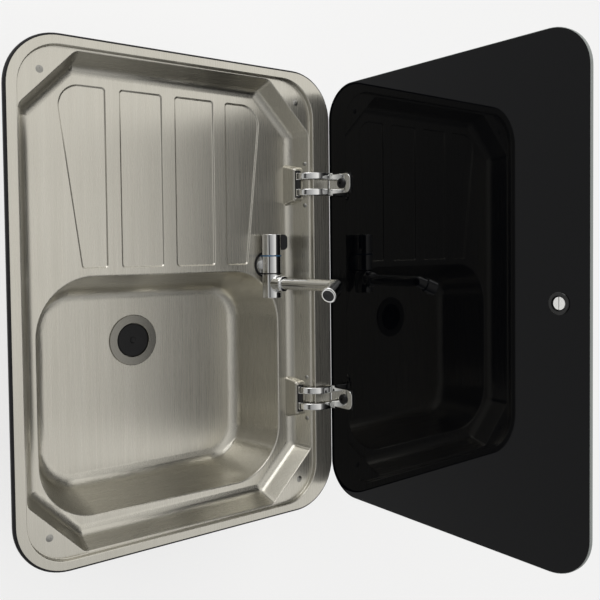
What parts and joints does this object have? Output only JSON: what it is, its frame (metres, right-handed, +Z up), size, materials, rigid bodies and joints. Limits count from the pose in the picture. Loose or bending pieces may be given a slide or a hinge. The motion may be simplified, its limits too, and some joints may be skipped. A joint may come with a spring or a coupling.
{
  "type": "folding camper sink",
  "caption": "Drop-in pressed stainless camper sink with fluted drainer, basin, hinged black glass lid that closes flush, fold-down tap and drain with plug.",
  "frame": {"origin": "centre of the rim, in the plane of the worktop that the seal rests on", "axes": "+X along the sink from drainer to basin, +Y to the lid's hinges, +Z up"},
  "size_m": [0.606, 0.4734, 0.5725],
  "materials": {
    "stainless": "satin brushed",
    "polished_steel": "satin",
    "screw_steel": "bright",
    "black_steel": "black painted",
    "chrome": "bright chrome",
    "arm_chrome": "bright chrome",
    "brass": "machined",
    "black_glass": "glossy black tempered glass",
    "seal_rubber": "matte",
    "plug_rubber": "satin",
    "black_plastic": "satin",
    "knob_plastic": "gloss",
    "aerator_plastic": "satin",
    "grey_plastic": "moulded",
    "blue_plastic": "gloss"
  },
  "bodies": {
    "sink": {"sink_pan": "stainless", "rim_seal": "seal_rubber", "corner_screws": "screw_steel", "hinge_liner_left": "black_plastic", "hinge_liner_right": "black_plastic", "hinge_bracket_left": "black_steel", "hinge_bracket_right": "black_steel", "hinge_bracket_screws": "screw_steel", "hinge_pin_left": "black_steel", "hinge_pin_right": "black_steel", "hinge_pin_clips": "black_steel", "tap_body": "chrome", "tap_gasket": "seal_rubber", "indicator_ring": "blue_plastic", "spout_seal": "seal_rubber", "tap_shank": "brass", "tap_washer": "seal_rubber", "tap_nut": "brass", "tap_inlet_tail": "brass", "drain_flange": "polished_steel", "drain_gasket": "seal_rubber", "drain_body": "grey_plastic", "drain_screw": "screw_steel"},
    "lid": {"lid_glass": "black_glass", "hinge_arm_left": "arm_chrome", "hinge_arm_right": "arm_chrome", "hinge_pads": "seal_rubber", "hinge_bolts": "black_plastic", "hinge_caps": "arm_chrome", "lid_knob": "black_plastic", "knob_gasket": "seal_rubber", "knob_ring": "knob_plastic", "knob_disc": "polished_steel"},
    "spout": {"spout_hub": "chrome", "spout_tube": "chrome", "spout_nozzle": "chrome", "aerator": "aerator_plastic"},
    "handle": {"tap_handle": "chrome", "tap_lever_tab": "black_plastic", "tap_core": "brass"},
    "plug": {"drain_plug": "plug_rubber", "plug_seal": "seal_rubber"}
  },
  "joints": [
    {"name": "lid_hinge", "type": "hinge", "parent": "sink", "child": "lid", "pos_m": [0, 0.208, -0.016], "axis": [1, 0, 0], "range_deg": [0, 91.3]},
    {"name": "spout_fold", "type": "hinge", "parent": "sink", "child": "spout", "pos_m": [-0.013, 0.138, -0.0155], "axis": [1, 0, 0], "range_deg": [0, 97]},
    {"name": "handle_turn", "type": "hinge", "parent": "sink", "child": "handle", "pos_m": [-0.067, 0.138, -0.0155], "axis": [1, 0, 0], "range_deg": [-70, 0]},
    {"name": "plug_lift", "type": "slide", "parent": "sink", "child": "plug", "axis": [0, 0, 1], "range_m": [0, 0.05]}
  ],
  "couplings": [
    {"joint": "spout_fold", "follows": "lid_hinge", "ratio": 1.0624}
  ]
}
